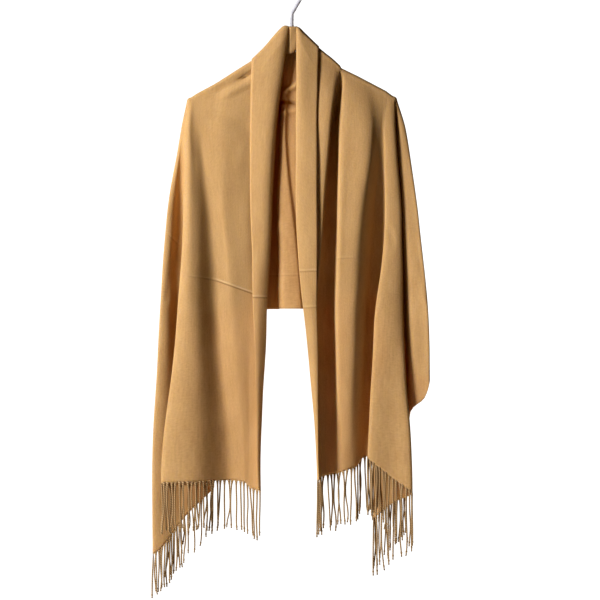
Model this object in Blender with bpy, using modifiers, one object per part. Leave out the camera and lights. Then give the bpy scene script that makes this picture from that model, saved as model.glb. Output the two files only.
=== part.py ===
"""A tassel scarf: one woven rectangle with a twisted fringe at each end, worn by a plain coat hanger as a shawl.

Frame: metres, +Z up, the front of the scarf faces -Y. The origin is the point inside the top of the hanger's
hook that rests on a rail. Tables are in millimetres: x to the viewer's right, y to the back, and drop, which
is the distance below the origin.

The cloth is one sheet. It hangs over the hanger's two arms, its long top edge is turned out as a collar, and
its two short ends hang down in front and fold back on themselves at the sides.
"""

import math
from collections import namedtuple

import bmesh
import bpy
from mathutils import Vector

MM = 0.001

# Driving sizes, in millimetres
WALL = 1.6  # the cloth
SEAM = 0.3  # air between two stretches of the cloth, at each side
STEPS = 2  # columns of the mesh to a fold
ARM_ROLL = 8.0  # radius of the cloth's middle where it rolls over an arm of the hanger
STATIONS = (300.0, 480.0, 700.0, 1000.0)  # drops at chest, waist, hip and hem

# The line along which the cloth lies on the hanger, as (x, drop) from the left tip to the right tip.
SHOULDER_LINE = (
    (-203, 232), (-191, 224), (-153, 203.5), (-107, 174), (-83, 159), (-67, 147), (-46, 121), (-31, 104),
    (-26, 97), (-20, 93.5), (-8, 91), (0, 90.5), (8, 91), (16, 97), (35, 114), (54, 132), (73, 147.5),
    (80, 152.5), (96, 167.5), (99, 173), (131, 188.5), (171, 209.5), (188, 218.5), (203, 229.5),
)

# Every fold line of the sheet, in order from the left front edge round the back to the right front edge.
# top is its x on the shoulder line, lean the direction in which it leaves that line (degrees: -90 to the front,
# 90 to the back, 0 and -180 to the sides), then its x and y at the four stations, and the drop where it ends.
Fold = namedtuple("Fold", "name top lean x_chest x_waist x_hip x_hem y_chest y_waist y_hip y_hem drop")
FOLDS = tuple(
    Fold(*row)
    for row in (
        ("left_roll", -7, -90, -31, -40, -52, -63, -23, -26, -30, -28, 1019),
        ("left_roll_back", -13, -90, -35, -45, -57, -68, -15, -20, -26, -22, 1019),
        ("left_under_collar", -30, -90, -55, -61, -68, -76, -13, -18, -26, -20, 1018),
        ("left_by_collar", -60, -90, -82, -84, -84, -84, -15, -23, -29, -21, 1014),
        ("left_breast", -92, -90, -106, -106, -100, -94, -19, -26, -29, -20, 1009),
        ("left_crest", -128, -90, -138, -134, -116, -106, -23, -30, -27, -17, 1004),
        ("left_valley_inner", -166, -90, -168, -156, -136, -122, -18, -26, -22, -13, 1001),
        ("left_valley", -188, -90, -188, -174, -160, -144, -12, -22, -27, -21, 1000),
        ("left_valley_outer", -196, -90, -198, -192, -186, -186, -17, -36, -45, -43, 1000),
        ("left_ridge", -201, -92, -206, -206, -210, -234, -23, -42, -49, -48, 1001),
        ("left_fold_edge", -203, -110, -214, -217, -230, -260, -16, -33, -41, -42, 1003),
        ("left_fold_under", -203, -125, -216, -211, -217, -238, -12, -24, -30, -31, 1007),
        ("left_inner_fold", -203, -132, -217, -204, -172, -157, -10, -14, -4, 0, 1014),
        ("left_inner_turn", -203, -139, -219, -205, -172, -157, -8, 0, 5, 8, 1018),
        ("left_inner_back", -203, -148, -220, -228, -232, -216, -6, 8, 10, 10, 1076),
        ("left_side_front", -203, -162, -221, -242, -249, -264, -3.5, -14, -15, -12, 1138),
        ("left_side", -203, -180, -223, -252, -266, -280, 0, -4, -7, -5, 1148),
        ("left_side_back", -203, -215, -216, -241, -254, -264, 9, 14, 16, 14, 1128),
        ("left_back_layer", -202, -255, -199, -210, -216, -222, 12, 18, 21, 19, 1056),
        ("left_corner", -196, -270, -182, -180, -188, -204, 14, 18, 20, 18, 1019),
        ("left_selvage_low", -186, -270, -168, -158, -179, -192, 15, 18, 18, 16, 880),
        ("left_selvage_turn", -172, -270, -154, -141, -162, -180, 16, 19, 19, 17, 742),
        ("left_back_flute", -150, -270, -136, -122, -136, -150, 16, 21, 22, 20, 686),
        ("back_ridge_1", -120, -270, -110, -102, -106, -106, 17, 26, 31, 31, 665),
        ("back_dip_1", -82, -270, -80, -75, -72, -72, 17, 17, 16, 16, 659),
        ("back_ridge_2", -42, -270, -44, -43, -42, -42, 19, 23, 27, 27, 657),
        ("back_pleat_under", -26, -270, -25, -29, -26, -26, 16, 15, 16, 16, 657),
        ("back_pleat_edge", -16, -270, -22, -27, -23, -23, -7, -13, -13, -13, 656),
        ("back_pleat", -4, -270, -14, 1, 18, 18, -13, -18, -19, -19, 656),
        ("back_pleat_step", 4, -270, -8, 8, 25, 25, -9, -14, -15, -15, 656),
        ("back_pleat_end", 16, -270, 14, 18, 33, 33, -8, -12, -12, -12, 655),
        ("back_ridge_3", 38, -270, 38, 42, 50, 50, 17, 21, 22, 22, 654),
        ("back_dip_2", 70, -270, 68, 72, 76, 76, 17, 19, 18, 18, 650),
        ("back_ridge_4", 104, -270, 100, 104, 106, 106, 17, 24, 29, 29, 642),
        ("back_dip_3", 134, -270, 130, 136, 139, 139, 16, 18, 19, 19, 631),
        ("right_back_flute", 162, -270, 158, 168, 174, 174, 15, 22, 27, 27, 625),
        ("right_selvage_turn", 182, -270, 181, 196, 208, 212, 13, 19, 22, 22, 646),
        ("right_back_layer", 194, -270, 200, 218, 236, 240, 11, 16, 19, 19, 712),
        ("right_side_back", 203, -315, 215, 240, 258, 266, 9, 10, 10, 10, 778),
        ("right_side", 203, -360, 228, 252, 271, 278, -11, -22, -24, -22, 800),
        ("right_side_front", 203, -380, 224, 248.5, 266, 273, -18, -28, -31, -29, 834),
        ("right_selvage_low", 203, -395, 213, 228, 238, 239, -14, -21, -22, -18, 862),
        ("right_corner", 203, -405, 208, 222, 227, 229, -2.5, -2, 0, 14, 995),
        ("right_inner_back", 203, -412, 205, 217, 219, 197, -4.5, -4, -1, 13, 1033),
        ("right_low_fold", 203, -418, 204, 215.5, 215, 168, -7, -7.5, -5.5, 12, 1069),
        ("right_low_turn", 203, -424, 204, 215.5, 214, 168, -9.5, -10.5, -9.5, 6, 1071),
        ("right_inner_front", 203, -430, 204.5, 216, 216, 203, -12.5, -14.5, -15, -8, 1046),
        ("right_edge_under", 203, -436, 207, 218.5, 220, 235, -16.5, -23, -25, -33, 1026),
        ("right_panel_edge", 203, -443, 207, 218, 221, 240, -21, -31, -34, -43, 1021),
        ("right_panel", 198, -450, 201, 207, 204, 202, -24, -34, -39, -38, 993),
        ("right_fold_edge", 194, -450, 194, 193, 165, 151, -23, -31, -34, -35, 953),
        ("right_fold_turn", 191, -450, 194, 195, 167, 153, -19, -22, -24, -26, 951),
        ("right_fold_under", 187, -450, 189, 200, 186, 178, -13, -6, -4, -4, 951),
        ("right_valley", 178, -450, 180, 172, 155, 143, -5, 5, 6, 2, 955),
        ("right_slope", 160, -450, 169, 153, 140, 128, -20, -24, -27, -16, 973),
        ("right_crest_end", 148, -450, 157, 138, 125, 115, -33, -44, -45, -27, 977),
        ("right_crest", 126, -450, 122, 108, 101, 101, -35, -42, -44, -28, 982),
        ("right_flank", 106, -450, 97, 90, 88, 89, -28, -37, -38, -19, 985),
        ("right_gap_wall", 102, -450, 92, 84, 82, 82, -10, -12, -12, -6, 988),
        ("right_gap", 99, -450, 80, 70, 68, 70, 3, 5, 5, 4, 991),
        ("right_tuck_under", 97.5, -450, 68, 55, 47, 55, -10, -10, -9, -8, 995),
        ("right_tuck", 95, -450, 77, 62, 50, 57, -40, -40, -30, -20, 997),
        ("right_under_collar", 60, -450, 46, 44, 41, 54, -38, -36, -25, -22, 998),
        ("right_roll_back", 14, -450, 13, 14, 31, 52, -22, -26, -30, -28, 998),
        ("right_roll", 9, -450, 9, 9.5, 27.5, 50, -34, -38, -40, -36, 998),
    )
)
FOLD_INDEX = {fold.name: i for i, fold in enumerate(FOLDS)}

# The turned-out collar, from the left hem over the left arm, behind the hook and down to the right hem. Each row
# has the free edge, the drop of the fold line beside it (or that line's own place round the neck) and how far the
# cloth between them stands out (bulge).
Collar = namedtuple("Collar", "part edge_x edge_y edge_drop roll_x roll_y roll_drop bulge")
COLLAR = tuple(
    Collar(*row)
    for row in (
        ("left", -69, -30, 1017, None, None, 1017, 1.5),
        ("left", -71, -30, 850, None, None, 850, 4.5),
        ("left", -76, -32, 700, None, None, 700, 7),
        ("left", -81, -27, 480, None, None, 480, 8),
        ("left", -83, -24, 310, None, None, 300, 8),
        ("left", -82.5, -19, 207, None, None, 180, 6),
        ("ridge", -81, 0.6, 154, -9, 0.6, 88, 0),
        ("back", -81, 10, 157, -9, 3, 87.5, 1),
        ("back", -77, 16, 174, -8, 6, 87, 3),
        ("back", -46, 26, 188, -5, 9, 86.5, 4),
        ("back", -6, 28, 184, 0, 10, 86.5, 4),
        ("back", 28, 24, 168, 5, 9, 86.5, 4),
        ("back", 51, 16, 147, 9, 6, 87, 3),
        ("back", 54, 10, 130, 10, 3, 88, 1),
        ("ridge", 54, 0.6, 126.5, 10, 0.6, 88, 0),
        ("right", 52, -22, 186, None, None, 160, 4),
        ("right", 50, -43, 300, None, None, 300, 4),
        ("right", 50, -47, 480, None, None, 480, 3),
        ("right", 50.5, -46, 700, None, None, 700, 3.5),
        ("right", 51, -45, 850, None, None, 850, 2),
        ("right", 53, -42, 996, None, None, 996, 0.8),
    )
)

# Colours from the photograph, as the maker would name them.
CAMEL = (0.60, 0.38, 0.18, 1.0)
WHITE_PLASTIC = (0.86, 0.85, 0.88, 1.0)


# ---------------------------------------------------------------- curves


def slopes_of(knots, values):
    """Slopes for a cubic through the values that doesn't swing past any of them."""
    steps = [(values[i + 1] - values[i]) / (knots[i + 1] - knots[i]) for i in range(len(knots) - 1)]
    inner = [
        0.0 if a * b <= 0 else 2 * a * b / (a + b)
        for a, b in zip(steps, steps[1:])
    ]
    return [steps[0], *inner, 0.0]


def smooth(knots, values, at):
    """The value at a place on that cubic. Past the last knot the value stays."""
    if at >= knots[-1]:
        return values[-1]
    i = max(k for k in range(len(knots) - 1) if k == 0 or knots[k] <= at)
    slopes = slopes_of(knots, values)
    span = knots[i + 1] - knots[i]
    t = (at - knots[i]) / span
    a, b = values[i], values[i + 1]
    ma, mb = slopes[i] * span, slopes[i + 1] * span
    return (
        (2 * t**3 - 3 * t**2 + 1) * a
        + (t**3 - 2 * t**2 + t) * ma
        + (3 * t**2 - 2 * t**3) * b
        + (t**3 - t**2) * mb
    )


def straight(line, x):
    """The drop at x on a line of (x, drop) points."""
    for (xa, da), (xb, db) in zip(line, line[1:]):
        if x <= xb:
            return da + (db - da) * (x - xa) / (xb - xa)
    return line[-1][1]


def between(a, b, c, d, t):
    """A point between b and c on the centripetal Catmull-Rom curve through four points."""
    knots = [0.0]
    for p, q in ((a, b), (b, c), (c, d)):
        knots.append(knots[-1] + max((q - p).length, 1e-6) ** 0.5)
    at = knots[1] + t * (knots[2] - knots[1])

    def mix(p, q, low, high):
        return p * ((high - at) / (high - low)) + q * ((at - low) / (high - low))

    ab = mix(a, b, knots[0], knots[1])
    bc = mix(b, c, knots[1], knots[2])
    cd = mix(c, d, knots[2], knots[3])
    return mix(mix(ab, bc, knots[0], knots[2]), mix(bc, cd, knots[1], knots[3]), knots[1], knots[2])


def through(points, places):
    """Points at the given places, where place 2.5 is halfway from the third point to the fourth."""
    first = points[0] * 2 - points[1]
    last = points[-1] * 2 - points[-2]
    ends = [first, *points, last]
    found = []
    for place in places:
        i = min(int(place), len(points) - 2)
        found.append(between(*ends[i : i + 4], place - i))
    return found


# ---------------------------------------------------------------- the sheet

ROLL_ANGLES = (3, 30, 60, 90)  # degrees round the hanger's arm, from the top of the roll
TIP_ANGLE = 12  # the same for the first row round the end of an arm
ROWS_BELOW = 11
NECK_BACK = 5.0  # how much further back the cloth passes behind the hook


def roll_point(x, lean, degrees, radius):
    """A point over the hanger's arm, in millimetres, with z up."""
    turn, lean = math.radians(degrees), math.radians(lean)
    out = radius * math.sin(turn)
    behind = NECK_BACK * max(0.0, 1 - abs(x) / 42) if math.sin(lean) > 0 else 0.0
    drop = straight(SHOULDER_LINE, x) + ARM_ROLL - radius * math.cos(turn)
    return Vector((x + out * math.cos(lean), out * math.sin(lean) + behind, -drop))


def fold_point(fold, drop):
    """The fold line's place at a drop below the roll over the arm."""
    start = roll_point(fold.top, fold.lean, 90, ARM_ROLL)
    knots = (-start.z, *STATIONS)
    across = (start.x, fold.x_chest, fold.x_waist, fold.x_hip, fold.x_hem)
    deep = (start.y, fold.y_chest, fold.y_waist, fold.y_hip, fold.y_hem)
    return Vector((smooth(knots, across, drop), smooth(knots, deep, drop), -drop))


def fold_line(fold):
    """The fold line as points: round the arm's roll, then down to the edge of the cloth."""
    first = TIP_ANGLE if abs(math.cos(math.radians(fold.lean))) > 0.1 else ROLL_ANGLES[0]
    points = [roll_point(fold.top, fold.lean, angle, ARM_ROLL) for angle in (first, *ROLL_ANGLES[1:])]
    start = -points[-1].z
    for row in range(1, ROWS_BELOW + 1):
        points.append(fold_point(fold, start + (fold.drop - start) * row / ROWS_BELOW))
    return points


FOLD_LINES = [fold_line(fold) for fold in FOLDS]
ROWS = len(FOLD_LINES[0])


def sheet_columns(first, last, steps, end_gaps):
    """Columns of points over the stretch from one place along the folds to another, steps to a fold.
    The first and last columns are drawn in by the end gaps."""
    count = max(2, round((last - first) * steps))
    places = [first + (last - first) * i / count for i in range(count + 1)]
    rows = [through([line[row] for line in FOLD_LINES], places) for row in range(ROWS)]
    columns = [[row[i] for row in rows] for i in range(count + 1)]
    draw_in(columns[0], columns[1], end_gaps[0])
    draw_in(columns[-1], columns[-2], end_gaps[1])
    return columns


def draw_in(column, neighbour, gap):
    """Move a column of points towards its neighbour, square to the column."""
    moved = []
    for i, point in enumerate(column):
        along = (column[min(i + 1, len(column) - 1)] - column[max(i - 1, 0)]).normalized()
        inward = neighbour[i] - point
        inward -= along * inward.dot(along)
        moved.append(point + inward.normalized() * gap)
    column[:] = moved


# ---------------------------------------------------------------- collar

COLLAR_ACROSS = (0.05, 0.18, 0.4, 0.65, 0.87, 1.0)  # places from the fold line to the free edge
COLLAR_ROLL = ARM_ROLL + 6.0  # radius of the collar's middle over an arm
COLLAR_RIDGES = [row for row in COLLAR if row.part == "ridge"]


def collar_point(roll, edge, bulge, across, outward):
    """A point of the collar between its fold line and its free edge."""
    swell = bulge * math.sin(math.pi * across) ** 0.7
    return roll + (edge - roll) * across + Vector((0, outward * swell, 0))


def clear_of_arm(point):
    """The point, moved out to the collar's radius where it would lie closer to an arm."""
    behind = NECK_BACK * max(0.0, 1 - abs(point.x) / 42)
    centre = Vector((point.x, 0, -straight(SHOULDER_LINE, point.x) - ARM_ROLL))
    offset = point - centre
    if offset.z < 0:
        return Vector((point.x, max(point.y, COLLAR_ROLL + behind), point.z))
    if offset.length < COLLAR_ROLL:
        offset = offset.normalized() * COLLAR_ROLL
    return centre + offset + Vector((0, behind * offset.y / COLLAR_ROLL, 0))


def lapel_columns(part, ridge, fold):
    """Columns of points for the collar beside a front edge of the sheet, from the free edge to the fold line."""
    table = sorted((row for row in COLLAR if row.part == part), key=lambda row: row.roll_drop)
    knots = [row.roll_drop for row in table]
    columns = [[] for _ in COLLAR_ACROSS]
    for step, on_sheet in enumerate(fold_line(fold)):
        drop = min(max(-on_sheet.z, knots[0]), knots[-1])
        edge_x, edge_y, edge_drop, bulge = (
            smooth(knots, [getattr(row, field) for row in table], drop)
            for field in ("edge_x", "edge_y", "edge_drop", "bulge")
        )
        for column, across in zip(columns, COLLAR_ACROSS):
            if step < len(ROLL_ANGLES):
                x = ridge.roll_x + (ridge.edge_x - ridge.roll_x) * across
                column.append(roll_point(x, -90, ROLL_ANGLES[step], COLLAR_ROLL))
            else:
                column.append(collar_point(on_sheet, Vector((edge_x, edge_y, -edge_drop)), bulge, across, -1))
    return columns[::-1]


def neck_columns():
    """Columns of points for the collar behind the hook, from the left arm to the right arm."""
    rows = [row for row in COLLAR if row.part in ("ridge", "back")]
    count = (len(rows) - 1) * 2
    places = [(len(rows) - 1) * i / count for i in range(count + 1)]
    lines = []
    for across in COLLAR_ACROSS:
        points = []
        for row in rows:
            roll = Vector((row.roll_x, row.roll_y, -row.roll_drop))
            edge = Vector((row.edge_x, row.edge_y, -row.edge_drop))
            points.append(collar_point(roll, edge, row.bulge, across, 1))
        lines.append([clear_of_arm(point) for point in through(points, places)])
    return [list(column) for column in zip(*lines)]


# ---------------------------------------------------------------- objects

scarf_parts = bpy.data.collections.new("tassel_scarf")


def material(name, colour, roughness):
    made = bpy.data.materials.new(name)
    made.use_nodes = True
    shader = made.node_tree.nodes["Principled BSDF"]
    shader.inputs["Base Color"].default_value = colour
    shader.inputs["Roughness"].default_value = roughness
    made.diffuse_color = colour
    return made


def add_object(name, data, finish):
    made = bpy.data.objects.new(name, data)
    scarf_parts.objects.link(made)
    data.materials.append(finish)
    return made


def add_mesh(name, bm, finish):
    bmesh.ops.recalc_face_normals(bm, faces=bm.faces)
    mesh = bpy.data.meshes.new(name)
    bm.to_mesh(mesh)
    bm.free()
    return add_object(name, mesh, finish)


def grid_of(columns):
    """A bmesh grid with its points moved onto the given columns of points."""
    across, down = len(columns), len(columns[0])
    bm = bmesh.new()
    bmesh.ops.create_grid(bm, x_segments=across - 1, y_segments=down - 1, size=1.0)
    for vertex in bm.verts:
        column = round((vertex.co.x + 1) / 2 * (across - 1))
        row = round((vertex.co.y + 1) / 2 * (down - 1))
        vertex.co = columns[column][row] * MM
    return bm


def cloth_wall(name, columns, finish):
    """A stretch of the cloth as a closed wall, half its thickness to each side of the points."""
    made = add_mesh(name, grid_of(columns), finish)
    wall = made.modifiers.new("wall", "SOLIDIFY")
    wall.thickness = WALL * MM
    wall.offset = 0.0
    return made


# ---------------------------------------------------------------- fringe

STRAND_PITCH = 8.0
STRAND_WIDE = 2.6
STRAND_LONG = 94.0
STRIP_TALL = 3.0
STRIP_WALL = 1.6


def hem_curve(first, last):
    """The hem between two places along the folds, as a list of points and their distances along it."""
    count = round((last - first) * STEPS)
    places = [first + (last - first) * i / count for i in range(count + 1)]
    points = through([line[-1] for line in FOLD_LINES], places)
    lengths = [0.0]
    for a, b in zip(points, points[1:]):
        lengths.append(lengths[-1] + (b - a).length)
    return points, lengths


def on_curve(points, lengths, at):
    i = max(k for k in range(len(points) - 1) if k == 0 or lengths[k] <= at)
    t = (at - lengths[i]) / (lengths[i + 1] - lengths[i])
    return points[i].lerp(points[i + 1], t)


def fringe(name, first, last, inset, gap, finish):
    """A strip under the hem with a strand hanging from every pitch of it, all one closed body."""
    points, lengths = hem_curve(first, last)
    usable = lengths[-1] - sum(inset)
    count = int(usable // STRAND_PITCH)
    start = inset[0] + (usable - count * STRAND_PITCH) / 2
    sides = []
    for i in range(count):
        centre = start + (i + 0.5) * STRAND_PITCH
        sides += [centre - STRAND_WIDE / 2, centre + STRAND_WIDE / 2]
    ends = [max(inset[0], sides[0] - 2), *sides, min(lengths[-1] - inset[1], sides[-1] + 2)]
    columns = []
    for at in ends:
        top = on_curve(points, lengths, at) - Vector((0, 0, gap))
        columns.append([top, top - Vector((0, 0, STRIP_TALL))])
    bm = grid_of(columns)
    tops, bottoms = (
        [min(bm.verts, key=lambda vertex: (vertex.co - column[row] * MM).length) for column in columns]
        for row in (0, 1)
    )
    bm.normal_update()
    bmesh.ops.solidify(bm, geom=bm.faces[:], thickness=STRIP_WALL * MM)
    roots = []
    for i in range(1, 2 * count, 2):
        pair = set(bottoms[i : i + 2])
        roots += [
            face for face in bottoms[i].link_faces if pair <= set(face.verts) and tops[i] not in face.verts
        ]
    for part in (0.5, 0.5):
        made = bmesh.ops.extrude_discrete_faces(bm, faces=roots)
        roots = made["faces"]
        for number, face in enumerate(roots):
            sway = math.sin(number * 2.4) * 0.35
            level = sum(v.co.z for v in face.verts) / len(face.verts)
            for vertex in face.verts:
                vertex.co.z = level
            bmesh.ops.translate(
                bm, verts=face.verts[:], vec=Vector((sway, 0, -STRAND_LONG * part)) * MM
            )
    return add_mesh(name, bm, finish)


# ---------------------------------------------------------------- hanger

# The hanger's arms and hub: x, drop of the middle, and half the height there.
HANGER = (
    (-198, 238, 3), (-188, 230.5, 5.2), (-169, 221, 5.6), (-121, 191.5, 6.2), (-81, 168, 6.6), (-48, 147, 8.5),
    (-24, 131, 14), (-11, 123, 22), (0, 122, 24), (11, 123, 22), (24, 131, 14), (48, 146, 8.5), (73, 161, 6.6),
    (96, 179.5, 6.2), (121, 194, 6), (150, 207, 5.6), (173, 219.5, 5.4), (188, 227, 5), (198, 235.5, 3),
)
HANGER_THICK = 9.0
HOOK_THICK = 8.0
HOOK_RADIUS = 22.0  # to the middle of the stock
HOOK_CENTRE_X = 0.5
STEM_X = -0.5
STEM_BEND_DROP = 64.0


def hanger_body(finish):
    columns = [[Vector((x, 0, half - drop)), Vector((x, 0, -half - drop))] for x, drop, half in HANGER]
    made = add_mesh("hanger_body", grid_of(columns), finish)
    thick = made.modifiers.new("thickness", "SOLIDIFY")
    thick.thickness = HANGER_THICK * MM
    thick.offset = 0.0
    edges = made.modifiers.new("rounded_edges", "BEVEL")
    edges.width = 2.6 * MM
    edges.segments = 2
    edges.limit_method = "ANGLE"
    edges.angle_limit = math.radians(50)
    return made


def hook(finish):
    """A stem that bends to the right and runs round into an open hook."""
    centre_drop = HOOK_RADIUS - HOOK_THICK / 2
    path = [(STEM_X, 97.6), (STEM_X, 80.0), (STEM_X, STEM_BEND_DROP + 3), (STEM_X + 0.8, STEM_BEND_DROP - 3)]
    for degrees in range(-30, 196, 15):
        turn = math.radians(degrees)
        path.append((HOOK_CENTRE_X + HOOK_RADIUS * math.cos(turn), centre_drop - HOOK_RADIUS * math.sin(turn)))
    curve = bpy.data.curves.new("hook", "CURVE")
    curve.dimensions = "3D"
    curve.bevel_depth = HOOK_THICK / 2 * MM
    curve.bevel_resolution = 2
    curve.use_fill_caps = True
    line = curve.splines.new("POLY")
    line.points.add(len(path) - 1)
    for point, (x, drop) in zip(line.points, path):
        point.co = (x * MM, 0, -drop * MM, 1)
    return add_object("hook", curve, finish)


# ---------------------------------------------------------------- build


# Each stretch of the sheet: from one place along the folds to another, and how far its ends are drawn in.
STRETCHES = (
    ("front_left", FOLD_INDEX["left_roll"], FOLD_INDEX["left_valley_outer"] + 0.5, (0.0, SEAM)),
    ("side_left", FOLD_INDEX["left_valley_outer"] + 0.5, FOLD_INDEX["left_corner"] + 0.5, (SEAM, SEAM)),
    ("back", FOLD_INDEX["left_corner"] + 0.5, FOLD_INDEX["right_selvage_turn"] + 0.5, (SEAM, SEAM)),
    ("side_right", FOLD_INDEX["right_selvage_turn"] + 0.5, FOLD_INDEX["right_panel"] - 0.5, (SEAM, SEAM)),
    ("front_right", FOLD_INDEX["right_panel"] - 0.5, FOLD_INDEX["right_roll"], (SEAM, 0.0)),
)

# Each fringe hangs under a stretch of the hem: from one fold to another, the distance kept clear at each end, and
# the air between the hem and the strip, which is larger where the hem is steep.
FRINGES = (
    ("fringe_front_left", "left_roll", "left_fold_edge", (1, 1), 0.7),
    ("fringe_behind_left", "left_fold_edge", "left_corner", (5, 1), 1.3),
    ("fringe_behind_right", "right_corner", "right_panel_edge", (1, 5), 1.3),
    ("fringe_front_right", "right_panel_edge", "right_roll", (1, 1), 1.0),
)


def main():
    bpy.context.scene.collection.children.link(scarf_parts)
    camel = material("camel_cloth", CAMEL, 0.85)
    white = material("white_plastic", WHITE_PLASTIC, 0.35)
    for name, first, last, gaps in STRETCHES:
        columns = sheet_columns(first, last, STEPS, gaps)
        if name == "front_left":
            columns = lapel_columns("left", COLLAR_RIDGES[0], FOLDS[0]) + columns
        if name == "front_right":
            columns = columns + lapel_columns("right", COLLAR_RIDGES[1], FOLDS[-1])[::-1]
        cloth_wall(name, columns, camel)
    cloth_wall("collar_back", neck_columns(), camel)
    for name, first, last, inset, gap in FRINGES:
        fringe(name, FOLD_INDEX[first], FOLD_INDEX[last], inset, gap, camel)
    hanger_body(white)
    hook(white)


for old in list(bpy.data.objects):
    bpy.data.objects.remove(old)
main()
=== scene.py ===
# %% [markdown]
# A camel scarf with tassels, worn as a shawl by a white moulded hanger. The cloth is one woven rectangle. It
# lies over the hanger's arms, its long top edge is turned out as a collar, and its short ends, with the
# tassels, hang down in front and fold back on themselves at the sides. Everything is in metres in the packed
# model's frame: the front faces -Y, +Z is up, and the origin is the point of the hook that rests on a rail.
# Tables are in millimetres, and give the drop below that point.

# %% load the frame
import math
import random
from collections import namedtuple

import bmesh
import bpy
import numpy as np
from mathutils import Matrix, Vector, noise


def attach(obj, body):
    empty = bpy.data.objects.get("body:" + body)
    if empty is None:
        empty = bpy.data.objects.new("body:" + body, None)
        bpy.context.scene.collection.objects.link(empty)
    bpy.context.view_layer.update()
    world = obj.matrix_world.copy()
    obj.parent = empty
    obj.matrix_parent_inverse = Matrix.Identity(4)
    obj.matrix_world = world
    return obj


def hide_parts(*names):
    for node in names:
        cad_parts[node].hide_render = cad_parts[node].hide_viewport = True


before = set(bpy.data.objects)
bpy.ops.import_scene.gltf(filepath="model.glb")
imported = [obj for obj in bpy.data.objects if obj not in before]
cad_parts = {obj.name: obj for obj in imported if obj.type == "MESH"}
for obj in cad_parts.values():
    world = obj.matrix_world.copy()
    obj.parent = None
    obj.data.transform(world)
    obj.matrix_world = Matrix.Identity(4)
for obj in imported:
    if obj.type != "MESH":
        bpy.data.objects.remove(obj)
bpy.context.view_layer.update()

MM = 0.001
scene = bpy.context.scene

# %% [markdown]
# The camera comes first, so that every fold can be compared with the photograph as it is made. The
# photograph is taken level and from far off, and one of its pixels is 2 mm on the object. A 120 mm lens at 4
# m shows 1.2 m across, which is the same.

# %% camera
def placed(name, data, place=(0, 0, 0), turned=(0, 0, 0)):
    """Adds an object to the scene."""
    made = bpy.data.objects.new(name, data)
    made.location, made.rotation_euler = place, turned
    scene.collection.objects.link(made)
    return made


lens = bpy.data.cameras.new("level_view")
lens.lens = 120
lens.clip_end = 60
scene.camera = placed("level_view", lens, (0.016, -4.02, -0.6385), (math.radians(90), 0, 0))
print("a", lens.lens, "mm lens at", scene.camera.location[:])

# %% [markdown]
# Hanging cloth is a set of folds that run down from where it is held. So the cloth is drawn with one line
# for each fold, in order, from the left front edge round the back to the right front edge. Each row gives
# where its line leaves the hanger's arm and where it lies at four heights. A smooth curve through
# neighbouring lines makes the cloth between them.

# %% the folds
STATIONS = (300.0, 480.0, 700.0, 1000.0)  # drops at chest, waist, hip and hem
ARM_ROLL = 8.0  # radius of the cloth where it rolls over an arm

SHOULDER_LINE = (
    (-203, 232), (-191, 224), (-153, 203.5), (-107, 174), (-83, 159), (-67, 147), (-46, 121), (-31, 104),
    (-26, 95.5), (-20, 91), (-8, 88.2), (0, 87.8), (8, 88.2), (16, 95), (35, 114), (54, 132), (73, 147.5),
    (80, 152.5), (96, 167.5), (99, 173), (131, 188.5), (171, 209.5), (188, 218.5), (203, 229.5),
)

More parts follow.
